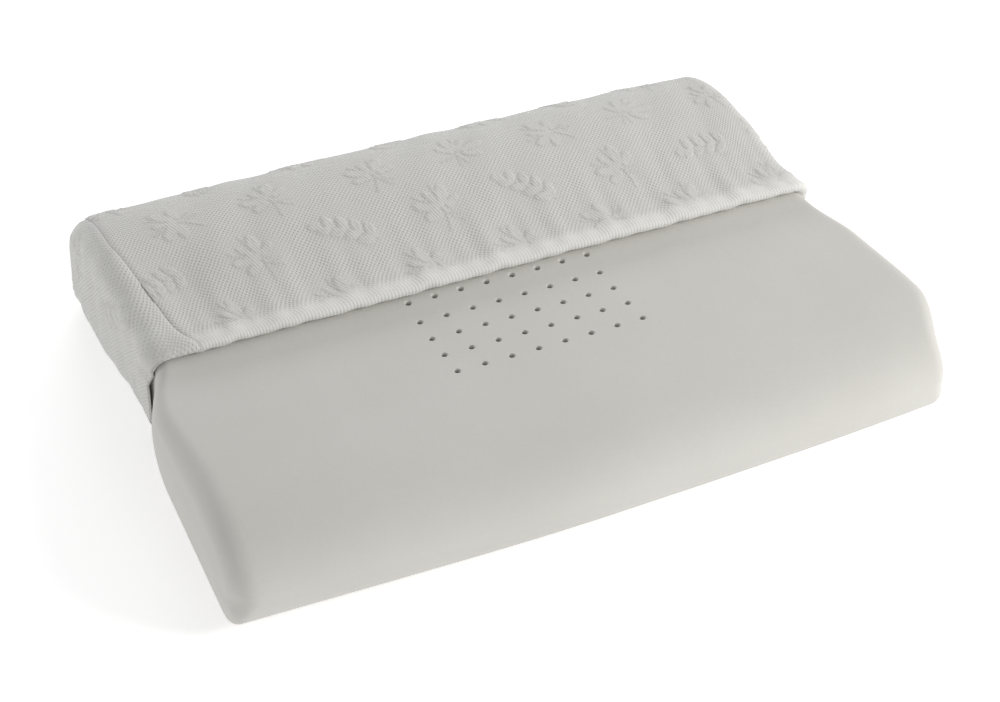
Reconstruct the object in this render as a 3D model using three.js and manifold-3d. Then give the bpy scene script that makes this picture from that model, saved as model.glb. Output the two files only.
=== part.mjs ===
// Contour bed pillow: a vented foam core whose back half sits in a knitted cover. The cover's front
// half is turned in on itself, so its zip lies open behind the core, between the core and the cover.
// Units are millimetres. +X runs along the pillow, +Y towards its high back lobe and +Z up.
// The origin is at the middle of the bottom of the whole pillow's bounding box.
import * as THREE from 'three';
import { mergeVertices } from 'three/addons/utils/BufferGeometryUtils.js';
import Module from 'manifold-3d';

// Foam core.
const coreLength = 600;
const coreDepth = 422;
const frontCrestHeight = 82;
const frontCrestInset = 70; // from the core's front to the top of its front lobe
const frontWaistHeight = 37; // where the front face is furthest forward
const valleyHeight = 71;
const valleyInset = 200; // from the core's front to its lowest line
const backCrestHeight = 101;
const backCrestInset = 82; // from the core's back to the top of its back lobe
const backWaistHeight = 57;
const bottomRound = 18; // front and back bottom edges
const endRound = 13; // all round each end face

// Vent channels, straight down through the core.
const ventDiameter = 5;
const ventPitch = 23;
const ventColumns = 8;
const ventRows = 8;
const ventRowsShowing = 5;
const ventToFold = 10; // from the cover's fold to the nearest showing row
const ventSides = 10;

// Knitted cover.
const clothThickness = 2;
const coreGap = 0.4; // between the core and the cloth next to it
const layerGap = 0.4; // between the turned-in cloth and the outer cloth
const foldInset = 230; // from the core's front to the cover's folded edge
const endSeamInset = 9; // from the core's end to the seam of the end panel
const upperSeamHeight = 64; // at the back
const lowerSeamHeight = 27;
const seamWidth = 0.8;
const touchGap = 0.3; // between pieces that are sewn or pressed together
const layerOverlap = 0.2; // of solids that are joined into one piece

// Zip, behind the core.
const zipHeight = 46;
const zipLength = 540;
const tapeWidth = 12;
const tapeThickness = 1.2;
const coilDiameter = 1.8;
const coilSpacing = 2.4; // between the two coils' middles
const coilSides = 8;
const sliderLength = 11;
const sliderWidth = 8;
const sliderThickness = 4.4;
const pullLength = 24;
const pullWidth = 6;
const pullThickness = 1.2;
const stopLength = 3;
const hollowRoom = 0.6; // round the slider and its pull, in the foam

// Fineness of the curves.
const crestSteps = 7;
const slopeSteps = 9;
const cornerSteps = 4;
const endRoundSteps = 3;
const foldSteps = 3;

// Places that follow from the sizes above.
const innerLayerIn = coreGap;
const innerLayerOut = innerLayerIn + clothThickness;
const outerLayerIn = innerLayerOut + layerGap;
const coverStack = outerLayerIn + clothThickness;
const coreFront = -coreDepth / 2 - coverStack / 2;
const coreBack = coreFront + coreDepth;
const frontCrestY = coreFront + frontCrestInset;
const valleyY = coreFront + valleyInset;
const backCrestY = coreBack - backCrestInset;
const foldY = coreFront + foldInset;
const seamX = coreLength / 2 - endSeamInset;
const seamRoom = seamWidth / 2 + touchGap;
const sheetSplitHeight = valleyHeight / 2; // between the upper and the lower cloth
const sliderX = zipLength / 2 - sliderLength / 2;
const farAway = 2 * (coreLength + coreDepth);

const foam = new THREE.MeshStandardMaterial({ color: 0xcfcdc8, roughness: 0.95, metalness: 0 });
const knit = new THREE.MeshStandardMaterial({ color: 0xc8c6c1, roughness: 0.92, metalness: 0 });
const thread = new THREE.MeshStandardMaterial({ color: 0xb9b7b2, roughness: 0.85, metalness: 0 });
const webbing = new THREE.MeshStandardMaterial({ color: 0xdedcd8, roughness: 0.9, metalness: 0 });
const nylon = new THREE.MeshStandardMaterial({ color: 0xe6e4df, roughness: 0.5, metalness: 0 });
const steel = new THREE.MeshStandardMaterial({ color: 0xb8b9bb, roughness: 0.35, metalness: 1 });

const wasm = await Module();
wasm.setup();

const pillow = new THREE.Group();

// A quarter of an ellipse round (cy, cz), from the angle start over a quarter turn clockwise.
function quarter(cy, cz, radiusY, radiusZ, start, steps) {
  const points = [];
  for (let i = 0; i <= steps; i++) {
    const angle = start - (i / steps) * (Math.PI / 2);
    points.push(new THREE.Vector2(cy + radiusY * Math.cos(angle), cz + radiusZ * Math.sin(angle)));
  }
  return points;
}

// The points of a smooth slope, level at both ends, which are left out.
function slope(y0, z0, y1, z1) {
  const points = [];
  for (let i = 1; i < slopeSteps; i++) {
    const along = i / slopeSteps;
    const y = THREE.MathUtils.lerp(y0, y1, along);
    const z = THREE.MathUtils.lerp(z0, z1, THREE.MathUtils.smoothstep(along, 0, 1));
    points.push(new THREE.Vector2(y, z));
  }
  return points;
}

// The core's section in Y and Z, clockwise. Its underside is rebated behind the fold, so that
// the core's front half and the cover under its back half both lie on the same surface.
function coreSection() {
  return [
    new THREE.Vector2(foldY - touchGap, coverStack),
    new THREE.Vector2(foldY - 2 * coverStack, 0),
    ...quarter(coreFront + bottomRound, bottomRound, bottomRound, bottomRound,
      1.5 * Math.PI, cornerSteps),
    ...quarter(frontCrestY, frontWaistHeight, frontCrestInset, frontCrestHeight - frontWaistHeight,
      Math.PI, crestSteps),
    ...slope(frontCrestY, frontCrestHeight, valleyY, valleyHeight),
    new THREE.Vector2(valleyY, valleyHeight),
    ...slope(valleyY, valleyHeight, backCrestY, backCrestHeight),
    ...quarter(backCrestY, backWaistHeight, backCrestInset, backCrestHeight - backWaistHeight,
      Math.PI / 2, crestSteps),
    ...quarter(coreBack - bottomRound, coverStack + bottomRound, bottomRound, bottomRound,
      0, cornerSteps),
  ];
}

// The outline moved outwards by a distance, square to each of its sides.
function swell(outline, distance) {
  return outline.map((point, i) => {
    const before = outline[(i + outline.length - 1) % outline.length];
    const after = outline[(i + 1) % outline.length];
    const sideIn = point.clone().sub(before).normalize();
    const sideOut = after.clone().sub(point).normalize();
    const normalIn = new THREE.Vector2(-sideIn.y, sideIn.x);
    const normalOut = new THREE.Vector2(-sideOut.y, sideOut.x);
    const mitre = normalIn.add(normalOut).normalize();
    return point.clone().addScaledVector(mitre, distance / mitre.dot(normalOut));
  });
}

function toSolid(geometry) {
  geometry.deleteAttribute('normal');
  geometry.deleteAttribute('uv');
  const merged = mergeVertices(geometry, 1e-4);
  return new wasm.Manifold(new wasm.Mesh({
    numProp: 3,
    vertProperties: merged.attributes.position.array,
    triVerts: new Uint32Array(merged.index.array),
  }));
}

// The core's shape, rounded at both ends and swelled by a distance all round.
function pillowForm(distance) {
  const round = Math.min(endRound, bottomRound) + distance;
  const outline = new THREE.Shape(swell(coreSection(), distance).reverse());
  const geometry = new THREE.ExtrudeGeometry(outline, {
    depth: coreLength + 2 * distance - 2 * round,
    steps: 1,
    bevelThickness: round,
    bevelSize: round,
    bevelOffset: -round,
    bevelSegments: endRoundSteps,
  });
  geometry.translate(0, 0, -coreLength / 2 - distance + round);
  geometry.applyMatrix4(new THREE.Matrix4().makeBasis(
    new THREE.Vector3(0, 1, 0), new THREE.Vector3(0, 0, 1), new THREE.Vector3(1, 0, 0)));
  return toSolid(geometry);
}

// The space between two opposite corners.
function block(x0, y0, z0, x1, y1, z1) {
  const geometry = new THREE.BoxGeometry(x1 - x0, y1 - y0, z1 - z0);
  geometry.translate((x0 + x1) / 2, (y0 + y1) / 2, (z0 + z1) / 2);
  return toSolid(geometry);
}

// A straight bar of round section along X.
function rodAlongX(x0, x1, y, z, diameter) {
  const geometry = new THREE.CylinderGeometry(diameter / 2, diameter / 2, x1 - x0, coilSides);
  geometry.rotateZ(Math.PI / 2);
  geometry.translate((x0 + x1) / 2, y, z);
  return toSolid(geometry);
}

function addPiece(name, solid, material) {
  const surface = solid.getMesh();
  const geometry = new THREE.BufferGeometry();
  const corners = new Float32Array(surface.vertProperties);
  geometry.setAttribute('position', new THREE.BufferAttribute(corners, 3));
  geometry.setIndex(new THREE.BufferAttribute(new Uint32Array(surface.triVerts), 1));
  geometry.computeVertexNormals();
  const mesh = new THREE.Mesh(geometry, material);
  mesh.name = name;
  pillow.add(mesh);
}

// How far back a swelled core reaches at a given height on its back face.
function backFaceAt(height, distance) {
  const outline = swell(coreSection(), distance);
  let furthest = 0;
  outline.forEach((point, i) => {
    const next = outline[(i + 1) % outline.length];
    const spans = (point.y - height) * (next.y - height) <= 0 && point.y !== next.y;
    if (spans) {
      const along = (height - point.y) / (next.y - point.y);
      furthest = Math.max(furthest, THREE.MathUtils.lerp(point.x, next.x, along));
    }
  });
  return furthest;
}

// The outer cloth, the turned-in cloth and the rounded fold that joins them, all round the back half.
// The fold is made of slices that each reach back to the layers and thicken towards them.
function coverCloth() {
  const outer = pillowForm(coverStack).subtract(pillowForm(outerLayerIn));
  const inner = pillowForm(innerLayerOut).subtract(pillowForm(innerLayerIn));
  const foldBack = foldY + clothThickness;
  const behindFold = block(-farAway, foldBack - layerOverlap, -farAway, farAway, farAway, farAway);
  const middle = (coverStack + innerLayerIn) / 2;
  const halfStack = (coverStack - innerLayerIn) / 2;
  let fold = null;
  for (let i = 0; i < foldSteps; i++) {
    const depth = (i + 1) / foldSteps;
    const half = halfStack * Math.sqrt(1 - (1 - depth) ** 2);
    const slice = pillowForm(middle + half).subtract(pillowForm(middle - half)).intersect(block(
      -farAway, foldY + (i / foldSteps) * clothThickness, -farAway, farAway, foldBack, farAway));
    fold = fold === null ? slice : fold.add(slice);
  }
  return {
    outer: outer.intersect(behindFold),
    inner: inner.intersect(behindFold),
    fold,
  };
}

// Everything above a height at the back, together with all the upper cloth in front of the back lobe.
function upperPart(height) {
  const reach = seamX - seamRoom;
  const meetY = backCrestY + layerOverlap;
  return block(-reach, backCrestY, height, reach, farAway, farAway)
    .add(block(-reach, -farAway, sheetSplitHeight, reach, meetY, farAway));
}

// Everything below a height at the back, together with all the lower cloth in front of the back lobe.
function lowerPart(height) {
  const reach = seamX - seamRoom;
  const meetY = backCrestY + layerOverlap;
  return block(-reach, backCrestY, -farAway, reach, farAway, height)
    .add(block(-reach, -farAway, -farAway, reach, meetY, sheetSplitHeight));
}

function addCover() {
  const cloth = coverCloth();
  const tapeRoom = coilSpacing / 2 + tapeWidth + touchGap;
  const top = cloth.outer.intersect(upperPart(upperSeamHeight + seamRoom))
    .add(cloth.inner.intersect(upperPart(zipHeight + tapeRoom)))
    .add(cloth.fold.intersect(upperPart(0)));
  addPiece('cover_top_panel', top, knit);
  const bottom = cloth.outer.intersect(lowerPart(lowerSeamHeight - seamRoom))
    .add(cloth.inner.intersect(lowerPart(zipHeight - tapeRoom)))
    .add(cloth.fold.intersect(lowerPart(farAway)));
  addPiece('cover_bottom_panel', bottom, knit);
  const reach = seamX - seamRoom;
  addPiece('cover_back_panel', cloth.outer.intersect(block(
    -reach, backCrestY, lowerSeamHeight + seamRoom,
    reach, farAway, upperSeamHeight - seamRoom)), knit);
  const allCloth = cloth.outer.add(cloth.inner).add(cloth.fold);
  for (const [side, sign] of [['left', -1], ['right', 1]]) {
    const near = sign * (seamX + seamRoom);
    const far = sign * farAway;
    addPiece(`cover_${side}_end_panel`, allCloth.intersect(block(
      Math.min(near, far), -farAway, -farAway, Math.max(near, far), farAway, farAway)), knit);
  }
}

// The lines of thread that join the panels, as deep as the outer cloth.
function addSeams() {
  const seamed = block(-farAway, foldY + clothThickness, -farAway, farAway, farAway, farAway);
  const skin = coverCloth().outer.intersect(seamed);
  for (const [side, sign] of [['left', -1], ['right', 1]]) {
    const x = sign * seamX;
    addPiece(`${side}_end_seam`, skin.intersect(block(
      x - seamWidth / 2, -farAway, -farAway, x + seamWidth / 2, farAway, farAway)), thread);
  }
  const reach = seamX - seamRoom;
  for (const [level, height] of [['upper', upperSeamHeight], ['lower', lowerSeamHeight]]) {
    addPiece(`${level}_back_seam`, skin.intersect(block(
      -reach, backCrestY, height - seamWidth / 2, reach, farAway, height + seamWidth / 2)), thread);
  }
}

// The slider straddles both tapes behind the core, and its pull lies flat towards the open tapes.
function sliderPlace() {
  const outside = backFaceAt(zipHeight, innerLayerOut);
  const inside = outside - sliderThickness;
  const nearEnd = sliderX - sliderLength / 2;
  return { outside, inside, nearEnd, farEnd: nearEnd + sliderLength };
}

function addZip() {
  const start = -zipLength / 2;
  const place = sliderPlace();
  const coilEnd = place.nearEnd - touchGap;
  const tapeEdge = (coilSpacing + coilDiameter) / 2 + touchGap;
  const tapeSkin = pillowForm(innerLayerIn + tapeThickness).subtract(pillowForm(innerLayerIn));
  for (const [level, sign] of [['upper', 1], ['lower', -1]]) {
    const near = zipHeight + sign * tapeEdge;
    const far = zipHeight + sign * (coilSpacing / 2 + tapeWidth);
    addPiece(`zip_${level}_tape`, tapeSkin.intersect(block(
      start, backCrestY, Math.min(near, far),
      place.farEnd, farAway, Math.max(near, far))), webbing);
    const coilHeight = zipHeight + sign * coilSpacing / 2;
    const coilY = backFaceAt(coilHeight, innerLayerIn + coilDiameter / 2);
    addPiece(`zip_${level}_coil`, rodAlongX(start, coilEnd, coilY, coilHeight, coilDiameter), nylon);
    addPiece(`zip_${level}_stop`, block(
      start - touchGap - stopLength, coilY - coilDiameter / 2, coilHeight - coilDiameter / 2,
      start - touchGap, coilY + coilDiameter / 2, coilHeight + coilDiameter / 2), nylon);
  }
  const tapeSlots = pillowForm(innerLayerIn + tapeThickness + touchGap)
    .subtract(pillowForm(innerLayerIn - touchGap))
    .subtract(block(-farAway, -farAway, zipHeight - tapeEdge + touchGap,
      farAway, farAway, zipHeight + tapeEdge - touchGap));
  const body = block(place.nearEnd, place.inside, zipHeight - sliderWidth / 2,
    place.farEnd, place.outside, zipHeight + sliderWidth / 2);
  addPiece('zip_slider', body.subtract(tapeSlots), steel);
  addPiece('zip_pull', block(
    place.nearEnd - touchGap - pullLength, place.inside, zipHeight - pullWidth / 2,
    place.nearEnd - touchGap, place.inside + pullThickness, zipHeight + pullWidth / 2), steel);
}

// The hollow that the slider and its pull press into the back of the foam.
function sliderHollow() {
  const place = sliderPlace();
  const halfHeight = Math.max(sliderWidth, pullWidth) / 2 + hollowRoom;
  return block(place.nearEnd - touchGap - pullLength - hollowRoom, place.inside - hollowRoom,
    zipHeight - halfHeight, place.farEnd + hollowRoom, farAway, zipHeight + halfHeight);
}

function addCore() {
  let core = pillowForm(0).subtract(sliderHollow());
  const firstX = -ventPitch * (ventColumns - 1) / 2;
  const firstY = foldY - ventToFold - ventPitch * (ventRowsShowing - 1);
  for (let row = 0; row < ventRows; row++) {
    for (let column = 0; column < ventColumns; column++) {
      const radius = ventDiameter / 2;
      const channel = new THREE.CylinderGeometry(radius, radius, farAway, ventSides);
      channel.rotateX(Math.PI / 2);
      channel.translate(firstX + column * ventPitch, firstY + row * ventPitch, 0);
      core = core.subtract(toSolid(channel));
    }
  }
  addPiece('foam_core', core, foam);
}

addCore();
addCover();
addSeams();
addZip();

export default pillow;
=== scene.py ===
"""Contour bed pillow: a vented foam core with a knitted cover drawn back over its back half.

Lengths are in millimetres until a mesh is made, and every mesh is then in metres, in the frame's axes:
X along the pillow, Y towards the high back lobe, Z up.
"""
import math

import bmesh
import bpy
import numpy as np
from mathutils import Matrix, Vector


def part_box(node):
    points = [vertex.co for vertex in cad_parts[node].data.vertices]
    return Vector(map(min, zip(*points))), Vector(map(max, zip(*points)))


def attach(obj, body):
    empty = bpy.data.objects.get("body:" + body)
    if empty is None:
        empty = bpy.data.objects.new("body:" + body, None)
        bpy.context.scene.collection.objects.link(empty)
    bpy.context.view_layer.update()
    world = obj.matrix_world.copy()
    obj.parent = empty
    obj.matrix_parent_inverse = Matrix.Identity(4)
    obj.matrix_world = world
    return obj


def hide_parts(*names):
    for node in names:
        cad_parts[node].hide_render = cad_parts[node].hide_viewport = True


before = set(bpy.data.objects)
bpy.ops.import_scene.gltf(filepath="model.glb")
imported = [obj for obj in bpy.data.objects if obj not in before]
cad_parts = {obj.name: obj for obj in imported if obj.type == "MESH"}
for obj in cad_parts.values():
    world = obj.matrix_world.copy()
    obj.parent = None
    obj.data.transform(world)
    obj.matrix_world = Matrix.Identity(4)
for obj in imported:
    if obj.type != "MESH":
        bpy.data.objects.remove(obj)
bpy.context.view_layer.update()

MM = 0.001

# ---------------------------------------------------------------- driving sizes, from the frame

CORE_LOW, CORE_HIGH = (np.array(corner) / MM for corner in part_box("foam_core"))
TOP_LOW, TOP_HIGH = (np.array(corner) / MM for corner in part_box("cover_top_panel"))
HALF_LENGTH = CORE_HIGH[0]
FRONT, BACK = CORE_LOW[1], CORE_HIGH[1]
CREST_HEIGHT = CORE_HIGH[2]
FOLD_Y = TOP_LOW[1]
CLOTH_STACK = TOP_HIGH[2] - CREST_HEIGHT
SEAM_X = TOP_HIGH[0]
UPPER_SEAM_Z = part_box("upper_back_seam")[0][2] / MM
LOWER_SEAM_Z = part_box("lower_back_seam")[1][2] / MM

# The core's section, as in the frame's solid.
FRONT_CREST_Y = FRONT + 70
FRONT_CREST_HEIGHT = 82
FRONT_WAIST_HEIGHT = 37
VALLEY_Y = FRONT + 200
VALLEY_HEIGHT = 71
BACK_CREST_Y = BACK - 82
BACK_WAIST_HEIGHT = 57
BOTTOM_ROUND = 18
FRONT_BOTTOM_ROUND = 30
FLOOR_STEP = CLOTH_STACK # the underside's rebate for the cloth
REBATE_TOP_AHEAD = 1
REBATE_FOOT_AHEAD = 9
ARC_POINTS = 24
SLOPE_POINTS = 40

# The rounding of the core's ends: widest at the front, narrower near the floor.
END_ROUND = 12
LEFT_FRONT_ROUND = 20
RIGHT_FRONT_ROUND = 16
FRONT_ROUND_AHEAD = 20 # of the fold
FRONT_ROUND_RAMP = 130
FLOOR_ROUND_HEIGHT = 8
FLOOR_ROUND_RAMP = 30
FLOOR_ROUND_SHARE = 0.6
END_CROWN = 2.5
END_MIDDLE_HEIGHT = 38
END_ARC_RINGS = 9
END_FACE_RINGS = 10
LENGTH_RINGS = 116

# How the soft pillow gives. Recesses, spreads, squeezes and tucks move points along Y or X.
FRONT_BOW = 7
LEFT_RECESS = 5
RIGHT_RECESS = -2
LEFT_SPREAD = 4
RIGHT_SPREAD = 13
SPREAD_REACH = 70
SPREAD_LOSS = 1.3 # share of the right spread that is lost over the front lobe
SPREAD_LOSS_FROM = 5
SPREAD_LOSS_RAMP = 60
LEFT_SQUEEZE = 13
RIGHT_SQUEEZE = 6
SQUEEZE_AHEAD = 28
SQUEEZE_BEHIND = 75
UNDER_COVER_AHEAD = 5
UNDER_COVER_RAMP = 15
BACK_CROWN = 4.5
LEFT_TUCK = 5
RIGHT_TUCK = 12
TUCK_REACH = 60
DIMPLE = 5
DIMPLE_FROM_END = 48
DIMPLE_FROM_FOLD = 62
DIMPLE_REACH_X = 30
DIMPLE_REACH_Y = 34
UNEVENNESS = 0.5
UNEVEN_WAVES = ((310, 420, 0.4), (-190, 260, 2.1), (140, -330, 4.0))

# Vent channels.
VENT_PITCH = 23
VENT_COLUMNS = 8
VENT_ROWS = 8
VENT_ROWS_SHOWING = 5
VENT_TO_FOLD = 10
VENT_RADIUS = 2.3
VENT_MOUTH_RADIUS = 3.2
VENT_MOUTH_DEPTH = 1.6
VENT_MOUTH_STEPS = 5
VENT_SIDES = 20
VENT_LIP = 0.6
VENT_LIP_HEIGHT = 0.8
VENT_CUT_ABOVE = 12
VENT_CUT_BELOW = 20

# Cloth. Offsets are from the foam to the middle of the cloth.
CLOTH_THICKNESS = 1.8
OUTER_OFFSET = CLOTH_STACK - CLOTH_THICKNESS / 2
INNER_OFFSET = 1.4
TURNED_IN = 170
END_TURNED_IN = 0.6 * TURNED_IN
FINE_STEP = 1.5
END_STEP = 2.0
COARSE_STEP = 5.0
TURNED_IN_STEP = 6.0
BACK_ROWS = 13
END_ARC_ROWS = 14
END_FACE_ROWS = 26
END_COLUMNS = 160
BACK_MIDDLE_HEIGHT = 46
END_FACE_CORE = 46 # from the back to the end face's middle line

# The folded edge at the opening.
FOLD_RADIUS = 5
FOLD_POINTS = 15
FOLD_RISE = 6
FOLD_RISE_REACH = 30
FOLD_RISE_DOWN = 15 # down the end panel
FOLD_FORWARD = 6
FOLD_FORWARD_REACH = 30
# The band along the fold gets ribs, no motifs and a painted highlight.
FOLD_BAND = 7
FOLD_BAND_FADE = 1.6

# Slack and wrinkles. A wave is its length in X, its length in Y and its phase.
SLACK_WAVE = 0.7
SLACK_WAVES = ((95, 170, 0.0), (-61, 140, 1.3), (47, -120, 2.2))
EDGE_WAVE = 0.9
EDGE_WAVE_REACH = 60
EDGE_WAVES = ((33, 900, 0.5), (-21, 700, 2.0), (58, 800, 1.0))
END_WRINKLE = 1.2
END_WRINKLE_REACH = 45
END_WAVES = ((38, 210, 0.3), (-27, 160, 1.1), (61, -300, 4.4))

# The end panels' fullness, and how far they stand off the foam at the opening.
LEFT_BULGE = 3
RIGHT_BULGE = 1
HELD_BY_SEAM = 26 # how far from its seam the cloth is held down
FULL_AT_SEAM = 0.1
LEFT_FLARE = 5
RIGHT_FLARE = 1
FLARE_REACH = 24
FLARE_FROM = 18 # down from the upper seam
FLARE_RAMP = 45
FLARE_FOOT = 10
END_MOTIF_SHARE = 0.5
END_MOTIF_CLEAR = 8

# Seams.
SEAM_DIP = 1.1
SEAM_SOFTNESS = 2.4
RIGHT_SEAM_LOW = 14
SEAM_DRAWN = 19
SEAM_DRAWN_FROM = 115
FOLD_CORNER_DRAWN = 9
FOLD_CORNER_REACH = 13
SEAMS_JOIN_FROM = 0.75 # share of the way to the middle of the back
SEAM_POINTS = 200
SEAM_THREAD_LIFT = 0.5
STITCH_LENGTH = 3.2
STITCH_STEPS = 6
THREAD_RADIUS = 0.5
THREAD_SIDES = 8

# Raised motifs. A petal is its angle, length and width, and a stem its angle, length and bend.
MOTIF_SEED = 4
MOTIF_PITCH_X = 82
MOTIF_PITCH_Y = 56
MOTIF_SHIFT_X = 5
MOTIF_SHIFT_Y = 4
MOTIF_ANGLE = 1.9
MOTIF_TURN = 0.9
MOTIF_REACH = 44
NEAR_REACH = 40
NEAR_RAMP = 22
MOTIF_HEIGHT = 1.15
PETALS = ((1.5, 21, 5), (0.85, 27, 5.6), (0.12, 24, 3.8), (-0.6, 28, 5.8), (-1.3, 21, 4.8))
STEMS = ((3.3, 17, 5), (2.8, 20, -4), (-2.5, 15, 3), (0.42, 27, 2), (-0.25, 28, -2))
SPRIG_LENGTH = 46
SPRIG_BEND = 9
SPRIG_LEAVES = 4
SPRIG_LEAF_STEP = 11

# The knit's pattern on the flat cloth. Its depth and the zip's pitches are in metres.
PIP_PITCH = 3.8
HATCH_PITCH = 2.6
EDGE_RIB_PITCH = 3.0
KNIT_DEPTH = 0.0006
TAPE_RIB_PITCH = 0.0012
COIL_PITCH = 0.0014
COIL_SLANT = 900 # radians for each metre of height

# Colours, linear.
FOAM_LIGHT = (0.595, 0.582, 0.552)
FOAM_DARK = (0.57, 0.557, 0.525)
FOAM_CELL = (0.46, 0.45, 0.42)
KNIT_LIGHT = (0.635, 0.63, 0.61)
# The knit's colour in its hollows, darkened as painted shade.
KNIT_HOLLOW_SHADE = (0.53, 0.525, 0.505)
KNIT_CLOUD = (0.61, 0.606, 0.58)
# A painted highlight for the band along the folded edge.
KNIT_FOLD_HIGHLIGHT = (0.72, 0.715, 0.695)
# Strength of the painted shade round the motifs' edges.
OUTLINE_SHADE_STRENGTH = 0.6
THREAD_LIGHT = (0.60, 0.59, 0.56)
THREAD_DARK = (0.40, 0.39, 0.37)
TAPE_LIGHT = (0.78, 0.77, 0.74)
TAPE_DARK = (0.60, 0.59, 0.56)
NYLON_LIGHT = (0.80, 0.79, 0.76)
NYLON_DARK = (0.52, 0.51, 0.48)
METAL_LIGHT = (0.58, 0.58, 0.59)
METAL_DARK = (0.42, 0.42, 0.43)

# Camera. Angles are in degrees.
CAMERA_AZIMUTH = -27.6
CAMERA_ELEVATION = 41.0
CAMERA_ROLL = 2.9
CAMERA_DISTANCE = 1391
CAMERA_TARGET = (-22.6, -44.7, 43.3)
CAMERA_LENS = 62.6

# Studio, in metres and watts.
FLOOR_REACH = 6
FLOOR_BELOW = 0.0006
FLOOR_GLOW = 0.35
AMBIENT = 0.55
LIGHT_TARGET = (0, 0, 0.05)
KEY_POWER = 33
SIDE_POWER = 7
RIM_POWER = 16
WARM_WHITE = (1.0, 0.99, 0.97)
COOL_WHITE = (0.98, 0.99, 1.0)


def smooth(t):
    """An even ramp from 0 to 1 with soft ends."""
    t = np.clip(t, 0, 1)
    return t * t * (3 - 2 * t)


# ---------------------------------------------------------------- the pillow's form

def section(point_count=400):
    """The core's section as a closed line in Y and Z: up the front, over both lobes, down the back
    and forwards underneath, evenly spaced."""
    pieces = []

    def quarter(cy, cz, ry, rz, start):
        angle = start - np.linspace(0, math.pi / 2, ARC_POINTS)
        pieces.append(np.c_[cy + ry * np.cos(angle), cz + rz * np.sin(angle)])

    def slope(y0, z0, y1, z1):
        t = np.linspace(0, 1, SLOPE_POINTS)[1:]
        pieces.append(np.c_[y0 + (y1 - y0) * t, z0 + (z1 - z0) * smooth(t)])

    quarter(FRONT + FRONT_BOTTOM_ROUND, FRONT_BOTTOM_ROUND, FRONT_BOTTOM_ROUND, FRONT_BOTTOM_ROUND,
            1.5 * math.pi)
    quarter(FRONT_CREST_Y, FRONT_WAIST_HEIGHT, FRONT_CREST_Y - FRONT,
            FRONT_CREST_HEIGHT - FRONT_WAIST_HEIGHT, math.pi)
    slope(FRONT_CREST_Y, FRONT_CREST_HEIGHT, VALLEY_Y, VALLEY_HEIGHT)
    slope(VALLEY_Y, VALLEY_HEIGHT, BACK_CREST_Y, CREST_HEIGHT)
    quarter(BACK_CREST_Y, BACK_WAIST_HEIGHT, BACK - BACK_CREST_Y,
            CREST_HEIGHT - BACK_WAIST_HEIGHT, math.pi / 2)
    quarter(BACK - BOTTOM_ROUND, FLOOR_STEP + BOTTOM_ROUND, BOTTOM_ROUND, BOTTOM_ROUND, 0)
    pieces.append(np.array([
        [FOLD_Y - REBATE_TOP_AHEAD, FLOOR_STEP],
        [FOLD_Y - REBATE_FOOT_AHEAD, 0],
        [FRONT + FRONT_BOTTOM_ROUND, 0]]))
    line = np.concatenate(pieces)
    step = np.hypot(*np.diff(line, axis=0).T)
    line = line[np.r_[True, step > 1e-6]]
    along = np.r_[0, np.cumsum(np.hypot(*np.diff(line, axis=0).T))]
    even = np.linspace(0, along[-1], point_count, endpoint=False)
    return np.c_[np.interp(even, along, line[:, 0]), np.interp(even, along, line[:, 1])]


def outward(line, closed=True):
    """Unit normals of a clockwise line in Y and Z, pointing out of the pillow."""
    if closed:
        tangent = np.roll(line, -1, axis=0) - np.roll(line, 1, axis=0)
    else:
        tangent = np.gradient(line, axis=0)
    normal = np.c_[-tangent[:, 1], tangent[:, 0]]
    return normal / np.linalg.norm(normal, axis=1)[:, None]


# ---------------------------------------------------------------- how the soft pillow lies

def waves(x, y, phases):
    """A slow unevenness between about -1 and 1, from a few crossed sine waves."""
    total = np.zeros_like(x)
    for wave_x, wave_y, phase in phases:
        total += np.sin(2 * math.pi * (x / wave_x + y / wave_y) + phase)
    return total / len(phases)


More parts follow.
